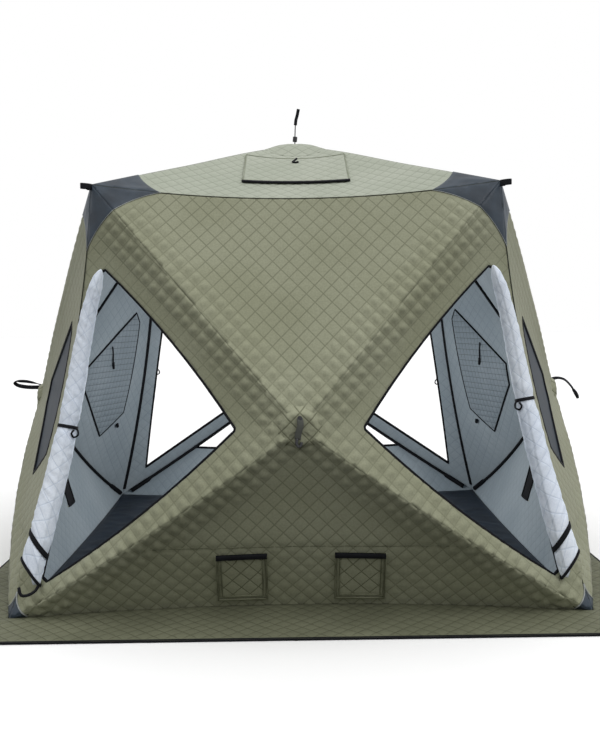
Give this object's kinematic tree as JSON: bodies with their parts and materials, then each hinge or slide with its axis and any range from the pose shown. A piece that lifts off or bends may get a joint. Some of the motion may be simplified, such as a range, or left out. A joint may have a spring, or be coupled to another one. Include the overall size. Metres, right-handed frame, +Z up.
{
  "type": "ice fishing hut",
  "caption": "Pop-up quilted ice fishing hut on a square base, with hub-and-strut frames, rolled-up triangular doors and a wide rear doorway, flap-covered windows, floor and snow skirt.",
  "frame": {"origin": "on the ground at the middle of the hut", "axes": "+Z up, front doors face -Y, +X is the right side seen from the front"},
  "size_m": [2.9571, 2.82, 2.2499],
  "materials": {
    "wall_olive": "quilted coated polyester, matt",
    "roof_olive": "quilted coated polyester, matt",
    "lining_grey": "quilted lining, slight sheen",
    "roll_white": "smooth white lining",
    "patch_navy": "plain heavy weave",
    "floor_navy": "coated woven, slight sheen",
    "skirt_olive": "quilted coated polyester, matt",
    "window_film": "smooth dark film",
    "strut_black": "pultruded rods and moulded hubs",
    "webbing_black": "woven webbing"
  },
  "bodies": {
    "root": {"front_upper_panel": "wall_olive", "front_lower_panel": "wall_olive", "front_left_door_surround": "wall_olive", "front_right_door_surround": "wall_olive", "front_left_door_roll": "roll_white", "front_right_door_roll": "roll_white", "back_upper_panel": "wall_olive", "back_lower_panel": "wall_olive", "back_left_door_surround": "wall_olive", "back_right_door_surround": "wall_olive", "back_left_door_roll": "roll_white", "back_right_door_roll": "roll_white", "left_upper_panel": "wall_olive", "left_lower_panel": "wall_olive", "left_front_panel": "wall_olive", "left_back_panel": "wall_olive", "left_windows": "window_film", "left_window_flaps": "lining_grey", "right_upper_panel": "wall_olive", "right_lower_panel": "wall_olive", "right_front_panel": "wall_olive", "right_back_panel": "wall_olive", "right_windows": "window_film", "right_window_flaps": "lining_grey", "roof_front_panel": "roof_olive", "roof_back_panel": "roof_olive", "roof_left_panel": "roof_olive", "roof_right_panel": "roof_olive", "roof_vent_flap": "roof_olive", "front_frame": "strut_black", "back_frame": "strut_black", "left_frame": "strut_black", "right_frame": "strut_black", "roof_frame": "strut_black", "front_corner_patches": "patch_navy", "back_corner_patches": "patch_navy", "left_corner_patches": "patch_navy", "right_corner_patches": "patch_navy", "roof_corner_patches": "patch_navy", "floor": "floor_navy", "snow_skirt": "skirt_olive", "vents": "webbing_black", "door_ties": "webbing_black", "pull_straps": "webbing_black", "guy_loops": "webbing_black"}
  },
  "joints": []
}
